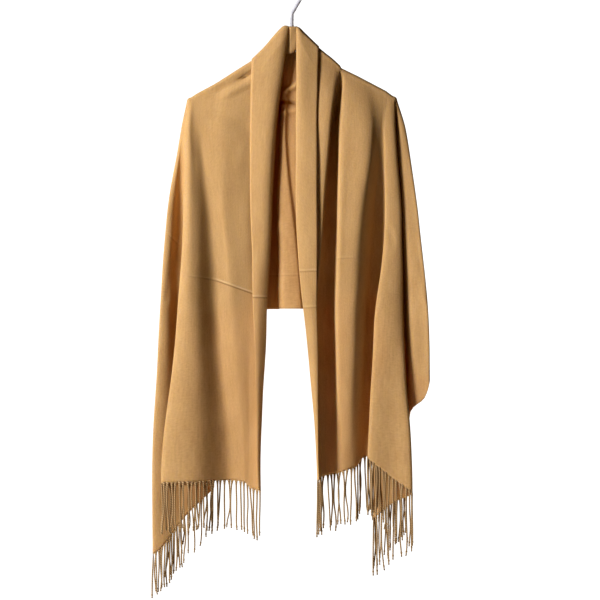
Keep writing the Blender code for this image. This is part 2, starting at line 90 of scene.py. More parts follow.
Fold = namedtuple("Fold", "name top lean x_chest x_waist x_hip x_hem y_chest y_waist y_hip y_hem drop")
FOLDS = tuple(Fold(*row) for row in (
    ("left_roll", -7, -90, -31, -40, -52, -63, -23, -26, -30, -28, 1019),
    ("left_roll_back", -13, -90, -35, -45, -57, -68, -15, -20, -26, -22, 1019),
    ("left_under_collar", -30, -90, -55, -61, -68, -76, -15, -18, -25, -18, 1018),
    ("left_by_collar", -60, -90, -82, -84, -84, -84, -18, -25.5, -24.5, -16, 1014),
    ("left_breast", -92, -90, -106, -106, -100, -88, -20.7, -27.5, -26, -15.5, 1009),
    ("left_crest", -128, -90, -138, -134, -116, -94, -23, -30, -26.5, -15.5, 1004),
    ("left_valley_inner", -166, -90, -170, -143, -132, -105, -18.5, -27.5, -23.5, -13.5, 1001),
    ("left_valley", -188, -90, -185, -166, -157, -132, -17, -24, -20, -11, 1000),
    ("left_valley_outer", -196, -90, -196, -187, -184, -186, -18.5, -37.5, -43.5, -44, 1000),
    ("left_ridge", -201, -92, -206, -206, -210, -234, -21.5, -42, -49, -48, 1001),
    ("left_fold_edge", -203, -110, -214, -217, -230, -260, -16, -33, -41, -42, 1003),
    ("left_fold_under", -203, -125, -216, -211, -217, -238, -12, -24, -30, -31, 1007),
    ("left_inner_fold", -203, -132, -217, -204, -172, -157, -10, -14, -4, 0, 1014),
    ("left_inner_turn", -203, -139, -219, -205, -172, -157, -8, 0, 5, 8, 1018),
    ("left_inner_back", -203, -148, -220, -228, -232, -216, -6, 5.5, 7, 8, 1076),
    ("left_side_front", -203, -162, -221, -242, -249, -264, -3.5, -9.5, -10, -9, 1138),
    ("left_side", -203, -180, -223, -252, -266, -280, 0, -9.5, -11.5, -9, 1148),
    ("left_side_back", -203, -215, -216, -241, -254, -264, 9, 14, 16, 14, 1128),
    ("left_back_layer", -202, -255, -199, -210, -216, -222, 12, 18, 21, 19, 1056),
    ("left_corner", -196, -270, -182, -180, -188, -204, 14, 18, 20, 18, 1019),
    ("left_selvage_low", -186, -270, -168, -158, -179, -192, 15, 18, 18, 16, 880),
    ("left_selvage_turn", -172, -270, -154, -141, -162, -180, 16, 19, 19, 17, 742),
    ("left_back_flute", -150, -270, -136, -122, -136, -150, 16, 21, 22, 20, 686),
    ("back_ridge_1", -120, -270, -110, -102, -106, -106, 17, 26, 31, 31, 665),
    ("back_dip_1", -82, -270, -80, -75, -72, -72, 17, 17, 16, 16, 659),
    ("back_ridge_2", -42, -270, -44, -43, -42, -42, 19, 23, 27, 27, 657),
    ("back_pleat_under", -26, -270, -25, -29, -26, -26, 16, 15, 16, 16, 657),
    ("back_pleat_edge", -16, -270, -22, -27, -23, -23, -7, -13, -13, -13, 656),
    ("back_pleat", -4, -270, -14, 1, 18, 18, -13, -18, -19, -19, 656),
    ("back_pleat_step", 4, -270, -8, 8, 25, 25, -9, -14, -15, -15, 656),
    ("back_pleat_end", 16, -270, 14, 18, 33, 33, -8, -12, -12, -12, 655),
    ("back_ridge_3", 38, -270, 38, 42, 50, 50, 17, 21, 22, 22, 654),
    ("back_dip_2", 70, -270, 68, 72, 76, 76, 17, 19, 18, 18, 650),
    ("back_ridge_4", 104, -270, 100, 104, 106, 106, 17, 24, 29, 29, 642),
    ("back_dip_3", 134, -270, 130, 136, 139, 139, 16, 18, 19, 19, 631),
    ("right_back_flute", 162, -270, 158, 168, 174, 174, 15, 22, 27, 27, 625),
    ("right_selvage_turn", 182, -270, 181, 196, 208, 212, 13, 19, 22, 22, 646),
    ("right_back_layer", 194, -270, 200, 218, 236, 240, 11, 16, 19, 19, 712),
    ("right_side_back", 203, -315, 215, 240, 258, 266, 9, 4, 3, 3, 778),
    ("right_side", 203, -360, 228, 253, 272, 279, -15, -29, -37, -31, 800),
    ("right_side_front", 203, -380, 221, 245, 261, 268, -17, -27.5, -32.5, -29, 834),
    ("right_selvage_low", 203, -395, 213, 223, 233, 239, -14, -21, -22, -18, 862),
    ("right_corner", 203, -405, 208, 222, 227, 229, -2.5, -2, 0, 14, 995),
    ("right_inner_back", 203, -412, 205, 217, 219, 197, -4.5, -4, -1, 13, 1033),
    ("right_low_fold", 203, -418, 204, 215.5, 215, 165, -7, -7.5, -5.5, 12, 1075),
    ("right_low_turn", 203, -424, 204, 215.5, 214, 165, -9.5, -10.5, -9.5, 6, 1077),
    ("right_inner_front", 203, -430, 204.5, 216, 216, 203, -12.5, -14.5, -15, -8, 1046),
    ("right_edge_under", 203, -436, 207, 218.5, 220, 238, -16.5, -23, -25, -39, 1026),
    ("right_panel_edge", 203, -443, 207, 218, 221, 240, -21, -31, -34, -47, 1021),
    ("right_panel", 198, -450, 201, 207, 204, 202, -24, -34, -39, -37, 993),
    ("right_fold_edge", 194, -450, 186.5, 187, 165, 151, -23, -30, -34, -32, 953),
    ("right_fold_turn", 191, -450, 183, 186.5, 167, 153, -21.6, -23, -24, -26, 951),
    ("right_fold_under", 187, -450, 180, 187, 186, 178, -21.3, -12, -4, -4, 951),
    ("right_valley", 178, -450, 176, 166, 155, 143, -22.5, 0, 6, 2, 955),
    ("right_slope", 160, -450, 167, 153, 140, 128, -27, -24, -27, -12, 973),
    ("right_crest_end", 148, -450, 157, 138, 125, 115, -34, -45, -45, -17, 977),
    ("right_crest", 126, -450, 122, 108, 101, 101, -35, -42, -44, -17, 982),
    ("right_flank", 106, -450, 96, 94, 91, 93, -30, -39, -40, -12, 985),
    ("right_gap_wall", 102, -450, 91, 88, 85, 86, -10, -12, -12, -4, 988),
    ("right_gap", 99, -450, 80, 70, 68, 70, 3, 5, 5, 4, 991),
    ("right_tuck_under", 97.5, -450, 68, 55, 47, 55, -10, -10, -9, -8, 995),
    ("right_tuck", 95, -450, 77, 62, 50, 57, -40, -40, -30, -20, 997),
    ("right_under_collar", 60, -450, 46, 44, 41, 54, -38, -36, -25, -22, 998),
    ("right_roll_back", 14, -450, 13, 14, 31, 52, -22, -26, -30, -28, 998),
    ("right_roll", 9, -450, 9, 9.5, 27.5, 50, -34, -38, -40, -36, 998),
))
INDEX = {fold.name: i for i, fold in enumerate(FOLDS)}
print(len(FOLDS), "fold lines")

# %% [markdown]
# The collar is the same cloth, turned out along the first and the last fold line and round the neck. Each
# row has its free edge, the drop of the fold line beside it and how far the cloth between stands out.

# %% the collar
Collar = namedtuple("Collar", "part edge_x edge_y edge_drop roll_drop bulge")
COLLAR = tuple(Collar(*row) for row in (
    ("left", -69, -30, 1017, 1017, 1.5),
    ("left", -71, -35, 850, 850, 2),
    ("left", -76, -37.5, 700, 700, 3),
    ("left", -81, -29, 480, 480, 7),
    ("left", -83, -24, 310, 300, 8),
    ("left", -82.5, -19, 207, 180, 6),
    ("ridge", -81, 0, 154, 88, 0),
    ("back", -81, 10, 157, 87.5, 1),
    ("back", -77, 16, 174, 87, 3),
    ("back", -46, 26, 188, 86.5, 4),
    ("back", -6, 28, 184, 86.5, 4),
    ("back", 28, 24, 168, 86.5, 4),
    ("back", 51, 16, 147, 87, 3),
    ("back", 54, 10, 130, 88, 1),
    ("ridge", 54, 0, 126.5, 88, 0),
    ("right", 52, -22, 186, 160, 4),
    ("right", 50, -43, 300, 300, 4),
    ("right", 50, -47, 480, 480, 3),
    ("right", 50.5, -46, 700, 700, 2.5),
    ("right", 51, -45, 850, 850, 2),
    ("right", 53, -42, 996, 996, 0.8),
))
RIDGES = [row for row in COLLAR if row.part == "ridge"]

# %% [markdown]
# Three small tools turn the tables into curves: a cubic that never swings past its knots, for one fold line;
# the height of the hanger's arm at any x; and a spline through neighbouring lines, which rounds the cloth
# between them.

# %% curve tools
def smooth(knots, values, at):
    """Values at many places on a cubic through the knots that doesn't swing past any of them."""
    knots, values = np.asarray(knots, float), np.asarray(values, float)
    step = np.diff(values) / np.diff(knots)
    slope = np.zeros(len(knots))
    slope[0] = step[0]
    product = step[:-1] * step[1:]
    total = step[:-1] + step[1:]
    slope[1:-1] = np.where(product > 0, 2 * product / np.where(total == 0, 1, total), 0)
    at = np.clip(at, None, knots[-1])
    i = np.clip(np.searchsorted(knots, at, side="right") - 1, 0, len(knots) - 2)
    span = knots[i + 1] - knots[i]
    t = (at - knots[i]) / span
    return (
        (2 * t**3 - 3 * t**2 + 1) * values[i] + (t**3 - 2 * t**2 + t) * slope[i] * span
        + (3 * t**2 - 2 * t**3) * values[i + 1] + (t**3 - t**2) * slope[i + 1] * span
    )


def arm_drop(x):
    """The drop of the cloth's top over the hanger's arm."""
    xs, drops = zip(*SHOULDER_LINE)
    return np.interp(x, xs, drops)


def blend(p, q, start, end, at):
    """p at the start, q at the end, a mix between."""
    return p * (end - at) / (end - start) + q * (at - start) / (end - start)


def through(lines, places):
    """Points at the given places on centripetal splines through matching points of many lines.
    lines is (line, row, 3), and place 2.5 is halfway from the third line to the fourth."""
    lines = np.concatenate([[2 * lines[0] - lines[1]], lines, [2 * lines[-1] - lines[-2]]])
    found = []
    for place in places:
        i = min(int(place), len(lines) - 4)
        a, b, c, d = lines[i : i + 4]
        steps = (np.linalg.norm(q - p, axis=1) for p, q in ((a, b), (b, c), (c, d)))
        gaps = [np.sqrt(np.maximum(step, 1e-4))[:, None] for step in steps]
        ta, tb, tc, td = np.cumsum([0 * gaps[0], *gaps], axis=0)
        at = tb + (place - i) * gaps[1]
        ab, bc, cd = blend(a, b, ta, tb, at), blend(b, c, tb, tc, at), blend(c, d, tc, td, at)
        found.append(blend(blend(ab, bc, ta, tc, at), blend(bc, cd, tb, td, at), tb, tc, at))
    return np.array(found)


# %% fold lines
ROLL_ROWS = np.radians(np.linspace(0, 90, 8))  # round the arm's roll
ROWS_BELOW = 140
NECK_BACK = 6.0  # how much further back the cloth passes behind the hook
NECK_HALF = 42.0  # how far to each side of the hook that reaches
COLLAR_LIFT = 3.0  # how far the collar lies above the cloth that passes under it


def roll_points(x, lean, radius=ARM_ROLL, angles=ROLL_ROWS):
    """Points over the hanger's arm, from the top of the roll down one side."""
    lean = math.radians(lean)
    out = radius * np.sin(angles)
    behind = NECK_BACK * max(0.0, 1 - abs(x) / NECK_HALF)
    y_top = behind if math.sin(lean) > 0 else behind * (1 - np.sin(angles))
    drop = arm_drop(x) + ARM_ROLL - radius * np.cos(angles)
    return np.stack([x + out * math.cos(lean), out * math.sin(lean) + y_top, -drop], axis=1)


def column(top, lean, stations):
    """One column: round the arm's roll, then down through its places at the four stations."""
    roll = roll_points(top, lean)
    start, end = -roll[-1][2], -stations[-1][2]
    drops = start + (end - start) * np.arange(1, ROWS_BELOW + 1) / ROWS_BELOW
    knots = (start, *STATIONS)
    x = smooth(knots, (roll[-1][0], *stations[:, 0]), drops)
    y = smooth(knots, (roll[-1][1], *stations[:, 1]), drops)
    return np.concatenate([roll, np.stack([x, y, -drops], axis=1)])


X_FIELDS, Y_FIELDS = slice(3, 7), slice(7, 11)
STATION_POINTS = np.array(
    [np.transpose([fold[X_FIELDS], fold[Y_FIELDS], (*STATIONS[:3], fold.drop)]) for fold in FOLDS]
) * (1, 1, -1)


def along_folds(places, key):
    """One value of the folds' table at places along the folds."""
    return np.interp(places, range(len(FOLDS)), [getattr(fold, key) for fold in FOLDS])


def columns(places):
    """Columns of the sheet at places along the folds."""
    tops, leans = along_folds(places, "top"), along_folds(places, "lean")
    return np.array([column(*given) for given in zip(tops, leans, through(STATION_POINTS, places))])


# %% [markdown]
# The cloth passes over an arm in one piece, so each column of the back has to start where a column of the
# front starts, and is looked up by its x there. At the ends of the arms the columns fan out from one point.

# %% the sheet's columns
PER_FOLD = 4


def places_between(first, last):
    count = round((last - first) * PER_FOLD)
    return first + (last - first) * np.arange(count + 1) / count


def back_places(tops):
    """Places along the back's folds whose tops lie at the given x."""
    wanted = np.arange(INDEX["left_back_layer"], INDEX["right_side_back"] + 1)
    return np.interp(tops, [FOLDS[i].top for i in wanted], wanted)


front_left = places_between(0, INDEX["left_ridge"])
front_right = places_between(INDEX["right_panel"], len(FOLDS) - 1)
neck_tops = np.linspace(FOLDS[0].top, FOLDS[-1].top, 13)
front_tops = [along_folds(places, "top")[::-1] for places in (front_left, front_right)]
back = back_places(np.concatenate([front_tops[0], neck_tops[1:-1], front_tops[1]]))
side_left = places_between(INDEX["left_ridge"], INDEX["left_back_layer"])
side_left = np.append(side_left[:-1], [INDEX["left_back_layer"], back[0]])
side_right = np.append(back[-1], places_between(INDEX["right_side_back"], INDEX["right_panel"]))
STRETCHES = ("front_left", "side_left", "back", "side_right", "front_right")
places_of = dict(zip(STRETCHES, (front_left, side_left, back, side_right, front_right)))
sheet = {name: columns(places) for name, places in places_of.items()}
print({name: grid.shape[:2] for name, grid in sheet.items()})

# %% [markdown]
# The collar's fold is soft: the cloth turns round in a curve about 15 mm across. Three lines between the
# fold line and the free edge stand out from the straight way across, the first of them most sharply, and the
# same spline rounds them together with the cloth behind.

# %% the collar's columns
# Place across the collar, and share of the bulge there above the waist and below the hip.
SWELL = ((0.12, 0.78, 0.35), (0.34, 1.0, 0.8), (0.66, 0.6, 0.95), (1.0, 0.0, 0.0))
COLLAR_ACROSS = np.linspace(0, 4, 4 * PER_FOLD + 1)[1:]


def collar_radius(across):
    return ARM_ROLL + COLLAR_LIFT * min(1.0, across / SWELL[0][0])


def lapel(part, ridge, edge_fold, next_fold):
    """The collar beside a front edge, from its free edge to the column next to the fold line."""
    table = sorted((row for row in COLLAR if row.part == part), key=lambda row: row.roll_drop)
    knots = [row.roll_drop for row in table]
    roll, behind = columns([INDEX[edge_fold], INDEX[next_fold]])
    drops = np.clip(-roll[:, 2], knots[0], knots[-1])
    keys = ("edge_x", "edge_y", "edge_drop", "bulge")
    x, y, drop, bulge = (smooth(knots, [getattr(row, key) for row in table], drops) for key in keys)
    edge = np.stack([x, y, -drop], axis=1)
    low = np.clip((drops - STATIONS[1]) / (STATIONS[2] - STATIONS[1]), 0, 1)
    top, lines = FOLDS[INDEX[edge_fold]].top, [behind, roll]
    for across, high_share, low_share in SWELL:
        line = roll + (edge - roll) * across
        line[:, 1] -= bulge * (high_share + (low_share - high_share) * low)
        x = top + (ridge.edge_x - top) * across
        line[: len(ROLL_ROWS)] = roll_points(x, -90, collar_radius(across))
        lines.append(line)
    lines = np.array(lines)
    between = through(lines, np.linspace(0, 1, PER_FOLD + 1)[1:-1])
    return through(lines, 1 + COLLAR_ACROSS)[::-1], between[::-1]


left_lapel, near_left = lapel("left", RIDGES[0], "left_roll", "left_roll_back")
right_lapel, near_right = lapel("right", RIDGES[1], "right_roll", "right_roll_back")
sheet["front_left"][1:PER_FOLD] = near_left
sheet["front_right"][-PER_FOLD:-1] = near_right[::-1]


def clear_of_arm(points, radius):
    """The points, moved out to the collar's radius where they would lie closer to an arm."""
    moved = []
    for x, y, z in points:
        behind = NECK_BACK * max(0.0, 1 - abs(x) / NECK_HALF)
        centre = -arm_drop(x) - ARM_ROLL
        dy, dz = y - behind, z - centre
        if dz < 0:
            dy = max(dy, radius)
        elif math.hypot(dy, dz) < radius:
            scale = radius / max(math.hypot(dy, dz), 1e-6)
            dy, dz = dy * scale, dz * scale
        moved.append((x, behind + dy, centre + dz))
    return moved


back_rows = [row for row in COLLAR if row.part in ("ridge", "back")]
back_edge = np.array([[(row.edge_x, row.edge_y, -row.edge_drop)] for row in back_rows], float)
along = np.linspace(0, len(back_rows) - 1, len(neck_tops))
back_edge = through(back_edge, along)[:, 0]
back_bulge = np.interp(along, range(len(back_rows)), [row.bulge for row in back_rows])
neck_line = np.array([roll_points(x, -270, angles=np.zeros(1))[0] for x in neck_tops])
lines = [neck_line]
for across, share, _ in SWELL:
    line = neck_line + (back_edge - neck_line) * across
    line[:, 1] += back_bulge * share
    lines.append(np.array(clear_of_arm(line, collar_radius(across))))
neck = through(np.array([lines[0] + (0, 3, -4), *lines]), np.concatenate([[1.0], 1 + COLLAR_ACROSS]))
neck[:, 0] = np.concatenate([[neck_line[0]], left_lapel[::-1][:, 0]])
neck[:, -1] = np.concatenate([[neck_line[-1]], right_lapel[::-1][:, 0]])
print("collar columns", left_lapel.shape[0], "neck", neck.shape[:2])

# %% [markdown]
# No cloth hangs as evenly as a table of numbers. So dents and swells are drawn where the collar drags on
# the shoulder and where the back is tucked behind the hook, and then a slow unevenness. It depends only on
# the height and on the place from side to side, so layers that lie close together move together and don't
# cut through each other. The noise is Blender's own, the same each time.

# %% dents, and a slow unevenness
Dent = namedtuple("Dent", "stretch x0 drop0 x1 drop1 half_width push")
DENTS = tuple(Dent(*row) for row in (
    ("front_left", -78, 183, -99, 193, 8, 9.0),
    ("front_left", -99, 194, -150, 219, 12, 3.0),
    ("front_left", -80, 201, -132, 226, 12, -4.0),
    ("front_left", -150, 262, -95, 285, 20, 2.0),
    ("front_left", -96, 330, -112, 420, 16, -0.8),
    ("front_right", 196, 500, 214, 560, 9, 2.5),
    ("back", -18, 238, 14, 246, 7, 7.0),
    ("back", -16, 221, 12, 205, 8, -6.0),
    ("back", -14, 262, 10, 258, 9, -4.0),
    ("back", -150, 300, -60, 330, 22, 3.0),
    ("back", 60, 260, 140, 300, 22, 3.0),
    ("back", -110, 470, 20, 500, 20, -2.5),
    ("side_left", -236, 520, -250, 640, 9, 2.5),
    ("side_right", 246, 560, 262, 640, 9, -2.0),
))
HELD, FREE = 12, 90  # cloth this near the arm stays put, and this much lower it moves freely
WAVES = ((85, 210, 3.1), (26, 60, 7.7), (160, 120, 12.3))  # width, height and seed of each


def off_the_line(grid, x0, drop0, x1, drop1):
    """How far points lie below a line, seen from the front, and past its nearer end, in millimetres."""
    run = np.array([x1 - x0, drop0 - drop1], float)
    length = np.linalg.norm(run)
    run /= length
    from_start = grid[..., [0, 2]] - (x0, -drop0)
    along = from_start @ run
    below = from_start @ np.array([run[1], -run[0]]) * math.copysign(1, x1 - x0)
    return below, np.maximum(0, np.maximum(-along, along - length))


def dented(stretch, grid):
    grid = grid.copy()
    for dent in DENTS:
        if dent.stretch == stretch:
            below, past = off_the_line(grid, *dent[1:5])
            away = np.minimum(1, np.hypot(below, past) / dent.half_width)
            grid[..., 1] += dent.push * (0.5 + 0.5 * np.cos(math.pi * away))
    return grid


def uneven(grid):
    """The points, moved a little by slow waves that fade out towards the hanger's arms."""
    moved = grid.reshape(-1, 3).copy()
    for point in moved:
        x, _, z = point
        free = min(1.0, max(0.0, -z - arm_drop(x) - HELD) / FREE)
        slow, small, sideways = (noise.noise((x / wide, z / high, seed)) for wide, high, seed in WAVES)
        point += np.array([2.4 * sideways, 2.6 * slow + 0.9 * small, 0]) * free
    return moved.reshape(grid.shape)


cloth = {name: dented(name, sheet[name]) for name in STRETCHES}
cloth["front_left"] = np.concatenate([left_lapel, cloth["front_left"]])
cloth["front_right"] = np.concatenate([cloth["front_right"], right_lapel[::-1]])
for left, right in zip(STRETCHES, STRETCHES[1:]):
    cloth[right][0] = cloth[left][-1]
cloth["neck"] = neck
cloth = {name: uneven(grid) for name, grid in cloth.items()}
print(len(DENTS), "dents and swells;", sum(grid.size // 3 for grid in cloth.values()), "points")

# %% [markdown]
# The scarf was folded flat in its packet, and the folds left creases. A crease is finer than the mesh, so
# each point keeps how far below the nearest crease it lies. That changes evenly from point to point, so the
# material can draw the crease sharply: a slight ridge with a paler line painted on it as a highlight, and a
# darker line painted below it as a shadow. The firm selvage is drawn in the same way, from each point's
# distance to the edge: a slight ridge with a paler line painted along it as a highlight.

# %% creases and edges
Crease = namedtuple("Crease", "piece x0 drop0 x1 drop1 depth")
CREASES = tuple(Crease(*row) for row in (
    ("front_left", -200, 589, -176, 592, 0.25),
    ("front_left", -176, 592, -150, 597, 0.6),
    ("front_left", -150, 597, -80, 622, 1.0),
    ("left_collar", -86, 630, -48, 631, 0.8),
    ("right_collar", 14, 579, 54, 578, 0.5),
    ("right_collar", 26, 651, 54, 650, 0.4),
    ("front_right", 96, 553, 116, 552, 0.25),
    ("side_left", -244, 508, -232, 520, 0.3),
    ("back", -250, 588, 250, 584, 0.2),
))
NEAR = 24.0  # a crease is forgotten this far from it
NEAR_FADE, END_FADE = 8, 12  # and fades before that, and past its ends
EDGE_FAR = 40.0


def creased(names, grid):
    """For each point, how far below its crease it lies, in metres, and how strong the crease is there."""
    distance = np.full(grid.shape[:2], NEAR)
    strength = np.zeros(grid.shape[:2])
    for crease in CREASES:
        mine = np.array([name == crease.piece for name in names])[:, None]
        below, past = off_the_line(grid, *crease[1:5])
        nearer = mine & (np.abs(below) < np.abs(distance)) & (past < END_FADE)
        distance = np.where(nearer, below, distance)
        strong = crease.depth * np.clip((NEAR - NEAR_FADE - np.abs(below)) / NEAR_FADE, 0, 1)
        strength = np.where(nearer, strong * np.clip(1 - past / END_FADE, 0, 1), strength)
    return distance * MM, strength


def run_of(points, axis=0):
    """How far each point lies along its line, from the first point of it."""
    steps = np.diff(points, axis=axis, prepend=np.take(points, [0], axis))
    return np.cumsum(np.linalg.norm(steps, axis=-1), axis)


piece_names = {name: [name] * len(grid) for name, grid in cloth.items()}
piece_names["front_left"][: len(left_lapel)] = ["left_collar"] * len(left_lapel)
piece_names["front_right"][-len(right_lapel) :] = ["right_collar"] * len(right_lapel)
print(len(CREASES), "creases")

# %% [markdown]
# Under the hook a little of the cloth has slipped forward over the arm, in front of the hanger's hub: a
# short tuck with a rounded end, hidden on both sides by the collar.

# %% tuck in front of the hub
TUCK_LEFT, TUCK_RIGHT = -13.0, 8.6
TUCK_TOP, TUCK_FOOT = 89.4, 143.5
TUCK_FACE = ((TUCK_LEFT, -5.3), (-6.0, -5.4), (-3.8, -7.5), (TUCK_RIGHT, -5.4))  # x and y of its face
TUCK_ROLL = 5.0  # the height over which its top rolls back over the arm


def tuck(bm):
    """Adds the tuck, 14 by 30 cells."""
    made = bmesh.ops.create_grid(bm, x_segments=14, y_segments=30, size=1.0)
    weave, finish = (bm.verts.layers.float_vector[name] for name in LAYERS)
    for vertex in made["verts"]:
        across, down = (vertex.co.x + 1) / 2, (vertex.co.y + 1) / 2
        x = TUCK_LEFT + (TUCK_RIGHT - TUCK_LEFT) * across
        foot = TUCK_FOOT - 8 * vertex.co.x**4 - 3 * vertex.co.x
        drop = TUCK_TOP + (foot - TUCK_TOP) * down
        front = np.interp(x, *zip(*TUCK_FACE)) - 0.25 * math.sin(9 * down + x / 3)
        y = front + (front * -0.55) * max(0.0, 1 - (drop - TUCK_TOP) / TUCK_ROLL) ** 2
        y += 1.5 * max(0.0, down - 0.95) / 0.05
        vertex.co = Vector((x, y, -drop)) * MM
        vertex[weave] = (x * MM, drop * MM, NEAR * MM)
        vertex[finish] = (EDGE_FAR * MM, 0, 0)


# %% [markdown]
# Each stretch starts as Blender's own grid, whose points are then put on the columns. The stretches share
# their border columns, so merging the doubled points leaves one sheet with no seams. Solidify then gives it
# the thickness of a soft twill, a little over a millimetre.

# %% one sheet from the stretches
CLOTH_THICK = 1.1
LAYERS = ("cloth", "finish")  # what the points keep for the material


def add_stretch(bm, name, grid, across0):
    """Adds one stretch of cloth. Its points keep (across, along, below a crease) and (distance to an edge,
    strength of the crease, 0)."""
    wide, tall = grid.shape[:2]
    across, along = run_of(grid[:, tall // 3]) * MM, run_of(grid, 1) * MM
    below, strength = creased(piece_names[name], grid)
    edge = along[:, -1:] - along
    if name == "front_left":
        edge = np.minimum(edge, across[:, None])
    if name == "front_right":
        edge = np.minimum(edge, (across[-1] - across)[:, None])
    weave, finish = (bm.verts.layers.float_vector[name] for name in LAYERS)
    made = bmesh.ops.create_grid(bm, x_segments=wide - 1, y_segments=tall - 1, size=1.0)
    for vertex in made["verts"]:
        i = round((vertex.co.x + 1) / 2 * (wide - 1))
        j = round((vertex.co.y + 1) / 2 * (tall - 1))
        vertex.co = Vector(grid[i, j]) * MM
        vertex[weave] = (across0 + across[i], along[i, j], below[i, j])
        vertex[finish] = (min(edge[i, j], EDGE_FAR * MM), strength[i, j], 0)
    return across0 + across[-1]


def add_piece(name, bm, *finishes):
    """Makes a bmesh an object of the scene, at the origin."""
    mesh = bpy.data.meshes.new(name)
    bm.to_mesh(mesh)
    bm.free()
    for finish in finishes:
        mesh.materials.append(finish)
    mesh.shade_smooth()
    print(name, len(mesh.polygons), "faces")
    return placed(name, mesh)


bm = bmesh.new()
for name in LAYERS:
    bm.verts.layers.float_vector.new(name)
reach = 0.0
for name, grid in cloth.items():
    reach = add_stretch(bm, name, grid, reach)
tuck(bm)
before = len(bm.verts)
bmesh.ops.remove_doubles(bm, verts=bm.verts, dist=0.02 * MM)
bmesh.ops.recalc_face_normals(bm, faces=bm.faces)
crowded = sum(len(e.link_faces) > 2 for e in bm.edges)
print("merged", before - len(bm.verts), "points; edges of more than two faces:", crowded)
scarf = add_piece("scarf_cloth", bm)
wall = scarf.modifiers.new("cloth_thickness", "SOLIDIFY")
wall.thickness = CLOTH_THICK * MM
wall.offset = 0.0

# %% [markdown]
# A material is a tree of nodes. A small function adds a node, sets it and links it, and others do so for the
# common kinds, so that each finish reads from top to bottom. Colours are written in hex, as on a colour
# card, and turned into the linear values that the renderer works in.

# %% tools for finishes
def linear(hex_colour):
    """A colour card's sRGB hex value as linear red, green, blue and full alpha."""
    parts = [int(hex_colour[i : i + 2], 16) / 255 for i in (1, 3, 5)]
    return (*[p / 12.92 if p <= 0.04045 else ((p + 0.055) / 1.055) ** 2.4 for p in parts], 1.0)


def node(tree, kind, inputs=(), out=0, **settings):
    """Adds a node and returns its socket out. Each input is a value or another node's socket."""
    made = tree.nodes.new(kind)
    for name, value in settings.items():
        setattr(made, name, value)
    for name, value in dict(inputs).items():
        if isinstance(value, bpy.types.NodeSocket):
            tree.links.new(value, made.inputs[name])
        else:
            made.inputs[name].default_value = value
    return made.outputs[out]


def maths(tree, operation, *values):
    """Adds a math node with one, two or three values."""
    return node(tree, "ShaderNodeMath", dict(enumerate(values)), operation=operation)


def mixed(tree, share, *colours):
    """Mixes two colours, each a hex value or another node's socket."""
    first, second = (linear(colour) if isinstance(colour, str) else colour for colour in colours)
    return node(tree, "ShaderNodeMix", {0: share, 6: first, 7: second}, out=2, data_type="RGBA")


def part_of(tree, vector, axis):
    """The X, Y or Z of a vector."""
    return node(tree, "ShaderNodeSeparateXYZ", {0: vector}, out=axis)


def noisy(tree, vector, scale, detail=2.0):
    """Blender's noise at a vector."""
    return node(tree, "ShaderNodeTexNoise", {"Vector": vector, "Scale": scale, "Detail": detail}, out="Fac")


def ranged(tree, value, low, high, to_low=0.0, to_high=1.0, **settings):
    """Brings the span from low to high on to the span from to_low to to_high."""
    span = {"Value": value, "From Min": low, "From Max": high, "To Min": to_low, "To Max": to_high}
    return node(tree, "ShaderNodeMapRange", span, **settings)


def weighted(tree, base, *layers):
    """The base and other sockets, each times its weight, added up."""
    for socket, weight in layers:
        base = maths(tree, "MULTIPLY_ADD", socket, weight, base)
    return base


def bumped(tree, shader, height, strength, distance):
    """Bumps the surface by a height of that many metres."""
    bump = node(tree, "ShaderNodeBump", {"Height": height, "Strength": strength, "Distance": distance})
    tree.links.new(bump, shader.inputs["Normal"])


def new_finish(name, **constants):
    """A new material, its tree and its shader, with the shader's constants set by name."""
    finish = bpy.data.materials.new(name)
    finish.use_nodes = True
    shader = finish.node_tree.nodes["Principled BSDF"]
    for socket, value in constants.items():
        shader.inputs[socket.replace("_", " ")].default_value = value
    return finish, finish.node_tree, shader


print("camel in linear light", [round(v, 3) for v in linear("#C89C67")])

# %% [markdown]
# The cloth is a soft brushed twill, woven from camel-coloured yarns that differ a little in shade. A twill
# has fine diagonal ribs, and its yarns show as streaks along the cloth. Real ribs are 0.6 mm apart, too fine
# to show here, so they are drawn at 1.6 mm. The brushed surface has a short nap, which Sheen gives as a pale
# bloom at grazing angles, and light that falls on the back of so thin a cloth comes through it warmer, which
# a little subsurface scattering gives.

# %% camel twill
RIB_PITCH = 1.6
STREAK_WIDE, STREAK_LONG = 1.7, 34.0
HEATHER_SIZE, PATCH_SIZE = 3.2, 70.0
# The width of the painted highlight along the selvage, and of its small raised edge.
SELVAGE_WIDE = 2.2
# Along a crease a paler line is painted as a highlight, and below it a darker line is painted as a shadow.
CREASE_WIDE = 3.6  # to each side
SHADE_BELOW, SHADE_WIDE = 3.4, 2.6  # the dark line under a crease, and to each side

twill, tree, shader = new_finish(
    "brushed_camel_twill", Roughness=0.86, Specular_IOR_Level=0.2,
    Sheen_Weight=0.12, Sheen_Roughness=0.6, Sheen_Tint=linear("#D9B080"),
    Subsurface_Weight=0.4, Subsurface_Radius=(1.0, 0.8, 0.25), Subsurface_Scale=2.4 * MM,
)
weave = node(tree, "ShaderNodeAttribute", attribute_name="cloth", out="Vector")
across_along = node(tree, "ShaderNodeVectorMath", {0: weave, 1: (1 / MM, 1 / MM, 0)}, operation="MULTIPLY")
below = part_of(tree, weave, "Z")
finish_data = node(tree, "ShaderNodeAttribute", attribute_name="finish", out="Vector")
edge, crease_strength = (part_of(tree, finish_data, axis) for axis in "XY")

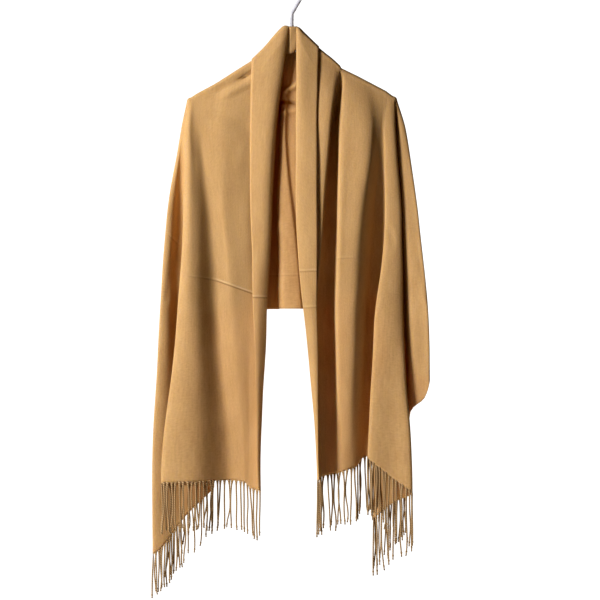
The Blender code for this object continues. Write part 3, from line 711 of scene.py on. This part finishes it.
turn = 2 * math.pi / RIB_PITCH
slant = (turn * 0.8, turn * 0.6, 0)
phase = node(tree, "ShaderNodeVectorMath", {0: across_along, 1: slant}, operation="DOT_PRODUCT", out="Value")
ribs = maths(tree, "SINE", phase)
streak_size = (1 / STREAK_WIDE, 1 / STREAK_LONG, 0)
streak_place = node(tree, "ShaderNodeVectorMath", {0: across_along, 1: streak_size}, operation="MULTIPLY")
streaks = noisy(tree, streak_place, 1.0)
heather = noisy(tree, across_along, 1 / HEATHER_SIZE, 3.0)
patches = noisy(tree, across_along, 1 / PATCH_SIZE, 1.0)
shade = weighted(tree, 0.06, (streaks, 0.38), (heather, 0.44), (patches, 0.22), (ribs, 0.05))
colour = mixed(tree, ranged(tree, shade, 0.32, 0.78), "#B99160", "#D5AF7D")


def crease_line(below_crease, half_width):
    """1 on a line that far below each crease, 0 from half_width on, times the crease's strength."""
    off = maths(tree, "ABSOLUTE", maths(tree, "SUBTRACT", below, below_crease * MM))
    line = ranged(tree, off, 0, half_width * MM, 1, 0, interpolation_type="SMOOTHSTEP")
    return maths(tree, "MULTIPLY", line, crease_strength)


# The paler line along the selvage is a painted highlight where the edge catches the light; its small bump is
# the firm edge itself.
selvage_and_highlight = ranged(tree, edge, 0, SELVAGE_WIDE * MM, 1, 0)
crease_and_highlight = crease_line(0, CREASE_WIDE)
painted_crease_shadow = crease_line(SHADE_BELOW, SHADE_WIDE)
# Painted highlight along the selvage, painted highlight on each crease, painted shadow below each crease.
for mark, share, paint in ((selvage_and_highlight, 0.25, "#DDB988"), (crease_and_highlight, 0.75, "#E3C294"), (painted_crease_shadow, 0.6, "#7E5A34")):
    colour = mixed(tree, maths(tree, "MULTIPLY", mark, share), colour, paint)
tree.links.new(colour, shader.inputs["Base Color"])

heights = ((ribs, 0.03), (streaks, 0.25), (heather, 0.3), (crease_and_highlight, 1.2), (selvage_and_highlight, 0.3))
bumped(tree, shader, weighted(tree, 0.0, *heights), 0.8, MM)
scarf.data.materials.append(twill)
print("twill:", len(tree.nodes), "nodes")

# %% [markdown]
# At each short end the warp yarns run on past the last weft and are twisted together in bundles: the
# tassels. A tassel's root is broad and flat, where the cloth holds it, and its tip is tied off in a small
# knot. The one shape is repeated more than a hundred times, so it has few faces: a cone with six sides, cut
# into rings with bisect_plane. The next step bends a copy of it into each tassel. In places where the hem
# lies behind other layers, every other tassel is left out, or the fringe would look too dense.

# %% one tassel
TASSEL_PITCH = 8.0
TASSEL_SIDES = 6
# Share of the way down, and half the width there along the hem and across it.
RINGS = (
    (0.0, 3.6, 0.7), (0.05, 2.7, 1.1), (0.11, 1.8, 1.5), (0.22, 1.6, 1.6), (0.34, 1.6, 1.6), (0.47, 1.6, 1.6),
    (0.60, 1.55, 1.55), (0.73, 1.55, 1.55), (0.85, 1.5, 1.5), (0.905, 1.4, 1.4), (0.93, 2.2, 2.2),
    (0.955, 1.3, 1.3), (1.0, 1.6, 1.6),
)
ring_downs, ring_wides, ring_deeps = zip(*RINGS)

bm = bmesh.new()
bmesh.ops.create_cone(bm, cap_ends=True, segments=TASSEL_SIDES, radius1=1, radius2=1, depth=1)
for down in ring_downs[1:-1]:
    whole, cut_at = bm.verts[:] + bm.edges[:] + bm.faces[:], (0, 0, 0.5 - down)
    bmesh.ops.bisect_plane(bm, geom=whole, dist=1e-5, plane_co=cut_at, plane_no=(0, 0, 1))
tassel_shape = bpy.data.meshes.new("tassel_shape")
bm.to_mesh(tassel_shape)
bm.free()
print("one tassel:", len(tassel_shape.polygons), "faces,", len(tassel_shape.vertices), "points")

# %% [markdown]
# The tassels' roots are spread nearly evenly along the hem, which is the last point of every column. A
# tassel hangs nearly straight, with a lean of its own and a soft wave, and here and there two neighbours
# swing together and cross. A random number generator with a fixed seed gives all that, the same in every
# run. The place round the yarn is kept as a cosine and a sine, because the angle itself would jump where it
# starts again.

# %% the two fringes
Fringe = namedtuple("Fringe", "piece first last long long_behind behind sparse nodes")
FRINGES = (
    Fringe(
        "scarf_tassels_left", "left_roll", "left_corner", 98, 90, ("left_fold_under", "left_corner"),
        (("left_fold_under", "left_inner_back"), ("left_side", "left_corner")),
        ("fringe_front_left", "fringe_behind_left"),
    ),
    Fringe(
        "scarf_tassels_right", "right_corner", "right_roll", 111, 116, ("right_corner", "right_edge_under"),
        (("right_low_turn", "right_edge_under"),),
        ("fringe_behind_right", "fringe_front_right"),
    ),
)
ROOT_LAP = 1.6  # how far a root reaches up into the hem
ROOT_WANDER = 0.9  # how far a root strays along the hem
LONGER = (0.92, 1.04)  # shortest and longest, as shares of the fringe's length
SWING_SHARE, SWING = 0.24, (2.0, 4.5)  # how many tassels swing to their neighbour, and how far
LEAN, LEAN_OUT = 0.016, 0.01  # usual lean along the hem and out of it, as a share of the length
WAVE, TURNS, CURL = (0.3, 2.2), (0.7, 1.5), 1.6  # how far a tassel waves, how often, and how its tip curls


def hem_between(first, last):
    """Points 1 mm apart along the hem from one fold to another, and their places along the folds."""
    places = np.linspace(INDEX[first], INDEX[last], 8 * (INDEX[last] - INDEX[first]) + 1)
    hem = uneven(through(STATION_POINTS, places)[:, 3])
    run = run_of(hem)
    even = np.arange(0, run[-1], 1.0)
    return np.stack([np.interp(even, run, hem[:, k]) for k in range(3)], axis=1), np.interp(even, run, places)


def hang_tassel(bm, root, along, long, chance, meet):
    """Adds one tassel. along is the hem's direction, and meet how far it swings to its neighbour."""
    start = len(bm.verts)
    bm.from_mesh(tassel_shape)
    bm.verts.ensure_lookup_table()
    out = Vector((along.y, -along.x, 0)).normalized()
    level = Vector((along.x, along.y, 0)).normalized()
    lean, lean_out = chance.gauss(0, LEAN), chance.gauss(0, LEAN_OUT)
    wave, turns, phase = chance.uniform(*WAVE), chance.uniform(*TURNS), chance.uniform(0, 6.28)
    curl = chance.gauss(0, CURL)
    for vertex in bm.verts[start:]:
        cosine, sine, down = vertex.co.x, vertex.co.y, 0.5 - vertex.co.z
        wide, deep = np.interp(down, ring_downs, ring_wides), np.interp(down, ring_downs, ring_deeps)
        waved = math.sin(turns * math.tau * down + phase) - math.sin(phase)
        sway = lean * down * long + wave * waved * down
        sway += meet * math.sin(math.pi * min(1.0, down * 1.25)) + curl * max(0.0, down - 0.55) ** 2 * 5
        swung_out = lean_out * down * long + wave * 0.4 * math.sin(5 * down + phase)
        middle = Vector(root) + level * sway + out * swung_out
        middle.z += ROOT_LAP - down * (long + ROOT_LAP)
        direction = along.lerp(level, min(1.0, down / ring_downs[2])).normalized()
        vertex[bm.verts.layers.float_vector["twist"]] = (cosine, sine, down * long * MM)
        vertex.co = (middle + direction * cosine * wide + out * sine * deep) * MM


def hang_fringe(fringe):
    chance = random.Random(fringe.piece)
    hem, places = hem_between(fringe.first, fringe.last)
    behind_from, behind_to = (INDEX[name] for name in fringe.behind)
    sparse = [(INDEX[first], INDEX[last]) for first, last in fringe.sparse]
    bm = bmesh.new()
    bm.verts.layers.float_vector.new("twist")
    count = int((len(hem) - 4) / TASSEL_PITCH)
    step = (len(hem) - 5) / (count - 1)
    swing, hung = 0.0, 0
    for number in range(count):
        at = 2 + number * step + chance.uniform(-ROOT_WANDER, ROOT_WANDER)
        at = int(min(max(at, 1), len(hem) - 2))
        root, place = hem[at], places[at]
        along = Vector(hem[min(at + 2, len(hem) - 1)] - hem[max(at - 2, 0)]).normalized()
        if number % 2 and any(first < place < last for first, last in sparse):
            continue
        if swing > 0:  # the neighbour of one that swings comes to meet it
            swing = -swing
        else:
            swing = chance.uniform(*SWING) if chance.random() < SWING_SHARE else 0.0
        long = fringe.long_behind if behind_from < place < behind_to else fringe.long
        long *= chance.uniform(*LONGER)
        hang_tassel(bm, root, along, long, chance, swing)
        hung += 1
    print(fringe.piece, hung, "tassels")
    return bm


tassels = []
for fringe in FRINGES:
    bm = hang_fringe(fringe)
    bmesh.ops.recalc_face_normals(bm, faces=bm.faces)
    tassels.append(add_piece(fringe.piece, bm))
bpy.data.meshes.remove(tassel_shape)

# %% [markdown]
# A tassel is two bundles of yarn turned round each other: a rope whose strands come round once in 9 mm. The
# stripe is drawn from the place round the yarn and the distance along it. The groove between the strands is
# darker, because little light gets in.

# %% twisted yarn
LAY = 9.0  # mm in which a strand goes once round

yarn_finish, tree, shader = new_finish("twisted_camel_yarn", Roughness=0.88, Specular_IOR_Level=0.2)
twist = node(tree, "ShaderNodeAttribute", attribute_name="twist", out="Vector")
cosine, sine, metres = (part_of(tree, twist, axis) for axis in "XYZ")
angle = maths(tree, "ARCTAN2", sine, cosine)
turned = maths(tree, "MULTIPLY_ADD", metres, math.tau / (LAY * MM), angle)
rope = maths(tree, "COSINE", maths(tree, "MULTIPLY", turned, 2.0))
ridge = ranged(tree, rope, -1, 0.4)
place = node(tree, "ShaderNodeTexCoord", out="Object")
fibres = noisy(tree, place, 1 / (2.5 * MM), 3.0)
colour = mixed(tree, ridge, "#776149", "#CBA97D")
colour = mixed(tree, ranged(tree, fibres, 0.3, 0.75, 0, 0.35), colour, "#A68961")
tree.links.new(colour, shader.inputs["Base Color"])
bumped(tree, shader, weighted(tree, ridge, (fibres, 0.25)), 0.5, 0.5 * MM)
for piece in tassels:
    piece.data.materials.append(yarn_finish)
print("yarn:", len(tree.nodes), "nodes")

# %% [markdown]
# The hanger is injection-moulded in white plastic. Its arms are an outline with a height at each x, made
# from a grid one cell high. Extruding it to its thickness, insetting both faces and pushing them in gives
# the rim and the thin web that save material, and a bevel rounds the edges.

# %% hanger arms
# x, the drop of the middle line and half the height there.
HANGER = (
    (-198, 238, 3), (-188, 230.5, 5.2), (-169, 221, 5.6), (-121, 191.5, 6.2), (-81, 168, 6.6),
    (-48, 147, 8.5), (-24, 131, 13), (-11, 121, 18), (0, 119.5, 20), (11, 121, 18), (24, 131, 13),
    (48, 146, 8.5), (73, 161, 6.6), (96, 179.5, 6.2), (121, 194, 6), (150, 207, 5.6), (173, 219.5, 5.4),
    (188, 227, 5), (198, 235.5, 3),
)
HANGER_THICK = 9.0
RIM = 1.7
WEB_DEPTH = {-1: 6.0, 1: 0.8}  # the front is open like a channel, and the back is nearly flat
WEB_END = 190.0  # the tips of the arms are left solid
SLICES = 88


def only(made, kind):
    """The points or the edges of what a bmesh tool made."""
    return [part for part in made if isinstance(part, kind)]


bm = bmesh.new()
made = bmesh.ops.create_grid(bm, x_segments=SLICES, y_segments=1, size=1.0)
xs, drops, halves = (np.array(column, float) for column in zip(*HANGER))
for vertex in made["verts"]:
    x = vertex.co.x * xs[-1]
    drop, half = np.interp(x, xs, drops), smooth(xs, halves, np.array([x]))[0]
    vertex.co = Vector((x, -HANGER_THICK / 2, -drop + half * math.copysign(1, vertex.co.y))) * MM
made = bmesh.ops.extrude_face_region(bm, geom=bm.faces[:])
bmesh.ops.translate(bm, verts=only(made["geom"], bmesh.types.BMVert), vec=(0, HANGER_THICK * MM, 0))
bmesh.ops.recalc_face_normals(bm, faces=bm.faces)
for side, deep in WEB_DEPTH.items():
    broad = [f for f in bm.faces if f.normal.y * side > 0.9 and abs(f.calc_center_median().x) < WEB_END * MM]
    bmesh.ops.inset_region(bm, faces=broad, thickness=RIM * MM, depth=-deep * MM, use_even_offset=True)
hanger_arms = add_piece("hanger_arms", bm)
edges = hanger_arms.modifiers.new("moulded_edges", "BEVEL")
edges.width = 0.8 * MM
edges.segments = 2
edges.limit_method = "ANGLE"
edges.angle_limit = math.radians(40)

# %% [markdown]
# The hook is a round rod of the same plastic: a stem, a bend of 30 degrees and an open hook. A rod is a
# circle that travels. It is drawn at the foot of the stem, extruded up, spun through the bend, extruded
# along the slope, and spun round the middle of the hook. A bevel makes its tip blunt.

# %% hook
HOOK_THICK = 8.0
HOOK_RADIUS = 22.0  # to the middle of the rod
HOOK_CENTRE = Vector((0.5, 0, -(HOOK_RADIUS - HOOK_THICK / 2)))
STEM_X, STEM_FOOT = -0.5, -100
BEND_RADIUS = 9.0
SLOPE = math.radians(30)
slope_way = Vector((math.sin(SLOPE), 0, math.cos(SLOPE)))
hook_start = HOOK_CENTRE + HOOK_RADIUS * Vector((math.cos(SLOPE), 0, -math.sin(SLOPE)))
corner = hook_start - slope_way * ((hook_start.x - STEM_X) / math.sin(SLOPE))
trimmed = BEND_RADIUS * math.tan(SLOPE / 2)


def drawn_on(bm, ring, way):
    """Extrudes the ring of edges along a straight way and returns its new ring."""
    made = bmesh.ops.extrude_edge_only(bm, edges=ring)["geom"]
    bmesh.ops.translate(bm, verts=only(made, bmesh.types.BMVert), vec=way * MM)
    return only(made, bmesh.types.BMEdge)


def spun_on(bm, ring, centre, degrees, steps):
    """Spins the ring of edges about a point, clockwise seen from the front, and returns its new ring."""
    angle = math.radians(degrees)
    made = bmesh.ops.spin(
        bm, geom=ring, cent=centre * MM, axis=(0, 1, 0), angle=angle, steps=steps, use_duplicate=False
    )
    return only(made["geom_last"], bmesh.types.BMEdge)


bm = bmesh.new()
foot = bmesh.ops.create_circle(bm, cap_ends=True, segments=20, radius=HOOK_THICK / 2 * MM)
bmesh.ops.translate(bm, verts=foot["verts"], vec=Vector((STEM_X, 0, STEM_FOOT)) * MM)
ring = bm.edges[:]
ring = drawn_on(bm, ring, Vector((0, 0, corner.z - trimmed - STEM_FOOT)))
ring = spun_on(bm, ring, Vector((STEM_X + BEND_RADIUS, 0, corner.z - trimmed)), 30, 5)
ring = drawn_on(bm, ring, hook_start - corner - slope_way * trimmed)
ring = spun_on(bm, ring, HOOK_CENTRE, -225, 36)
bmesh.ops.contextual_create(bm, geom=ring)
tip = [e for e in bm.edges if e in set(ring)]
bmesh.ops.bevel(bm, geom=tip, offset=2.4 * MM, segments=4, profile=0.5, affect="EDGES", material=-1)
bmesh.ops.recalc_face_normals(bm, faces=bm.faces)
rod = add_piece("hanger_hook", bm)
print("hook top at", round(max(v.co.z for v in rod.data.vertices) / MM, 2), "mm")

# %% [markdown]
# The plastic is polypropylene, left as it was moulded: white with a cool cast, a satin shine, and a surface
# that is never quite flat, which a faint bump gives. Light goes a little way into it.

# %% moulded polypropylene
plastic, tree, shader = new_finish(
    "moulded_white_polypropylene", IOR=1.49,
    Subsurface_Weight=1.0, Subsurface_Radius=(1, 0.95, 0.9), Subsurface_Scale=5 * MM,
)
place = node(tree, "ShaderNodeTexCoord", out="Object")
flow, grain = (noisy(tree, place, 1 / (size * MM)) for size in (6, 0.7))
colour = mixed(tree, flow, "#C3C2C9", "#D3D2D8")
tree.links.new(colour, shader.inputs["Base Color"])
tree.links.new(ranged(tree, flow, 0, 1, 0.3, 0.42), shader.inputs["Roughness"])
bumped(tree, shader, weighted(tree, flow, (grain, 0.2)), 0.25, 0.15 * MM)
for piece in (hanger_arms, rod):
    piece.data.materials.append(plastic)
print("plastic:", len(tree.nodes), "nodes")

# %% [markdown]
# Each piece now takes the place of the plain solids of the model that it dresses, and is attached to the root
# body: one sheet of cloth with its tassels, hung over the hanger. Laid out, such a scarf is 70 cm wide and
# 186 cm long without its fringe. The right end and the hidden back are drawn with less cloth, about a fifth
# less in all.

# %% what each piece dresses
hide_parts("front_left", "side_left", "back", "side_right", "front_right", "collar_back")
for fringe, piece in zip(FRINGES, tassels):
    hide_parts(*fringe.nodes)
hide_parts("hanger_body")
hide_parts("hook")
for piece in (scarf, *tassels, hanger_arms, rod):
    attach(piece, "root")

# %% [markdown]
# The photograph has a white ground and one soft light from the front left, 55 degrees off to the side, with
# almost nothing to fill the shadows, which is why the folds are so dark. The world is white where the camera
# sees it and nearly black, and warm, where it lights the cloth: light that finds its way into the folds has
# met camel cloth before. A card behind, to the right, lights the back and comes through the cloth where it
# is one layer thick. The view has more contrast, as the photograph has, and a black level, which takes a
# little off every colour and so deepens the darkest folds the most.

# %% floor, room and lights
FLOOR_RADIUS, FLOOR_DROP = 2.2, 1.75  # metres
bm = bmesh.new()
bmesh.ops.create_circle(bm, cap_ends=True, segments=96, radius=FLOOR_RADIUS)
bmesh.ops.translate(bm, verts=bm.verts, vec=(0, 0, -FLOOR_DROP))
paint, tree, shader = new_finish("matt_white_floor_paint", Roughness=0.7)
place = node(tree, "ShaderNodeTexCoord", out="Object")
colour = mixed(tree, noisy(tree, place, 6.0), "#F4F4F3", "#FBFBFA")
tree.links.new(colour, shader.inputs["Base Color"])
floor = add_piece("studio_floor", bm, paint)

world = bpy.data.worlds.new("white_studio")
scene.world = world
world.use_nodes = True
tree = world.node_tree
room = node(tree, "ShaderNodeBackground", {"Color": (1.0, 0.62, 0.3, 1), "Strength": 0.015})
ground = node(tree, "ShaderNodeBackground", {"Color": (1, 1, 1, 1), "Strength": 1.0})
seen = node(tree, "ShaderNodeLightPath", out="Is Camera Ray")
both = node(tree, "ShaderNodeMixShader", {0: seen, 1: room, 2: ground})
tree.links.new(both, tree.nodes["World Output"].inputs["Surface"])

Softbox = namedtuple("Softbox", "name place size watts colour")
SOFTBOXES = (
    Softbox("key_softbox", (-2.42, -1.74, 0.56), 1.0, 119, (1, 1, 1)),
    Softbox("fill_card", (1.2, -3.8, -0.3), 1.8, 0.6, (1, 0.62, 0.3)),
    Softbox("back_card", (2.1, 2.5, -0.7), 1.6, 75, (1, 0.97, 0.92)),
)
AIM = Vector((0, 0, -0.6))  # the middle of the scarf
for box in SOFTBOXES:
    data = bpy.data.lights.new(box.name, "AREA")
    data.shape, data.size, data.energy, data.color = "SQUARE", box.size, box.watts, box.colour
    turned = (AIM - Vector(box.place)).to_track_quat("-Z", "Y").to_euler()
    placed(box.name, data, box.place, turned)
view = scene.view_settings
view.view_transform = "Standard"
view.look = "Medium High Contrast"
view.use_curve_mapping = True
view.curve_mapping.black_level = (0.003, 0.003, 0.003)
view.curve_mapping.update()
print(len(SOFTBOXES), "lights")
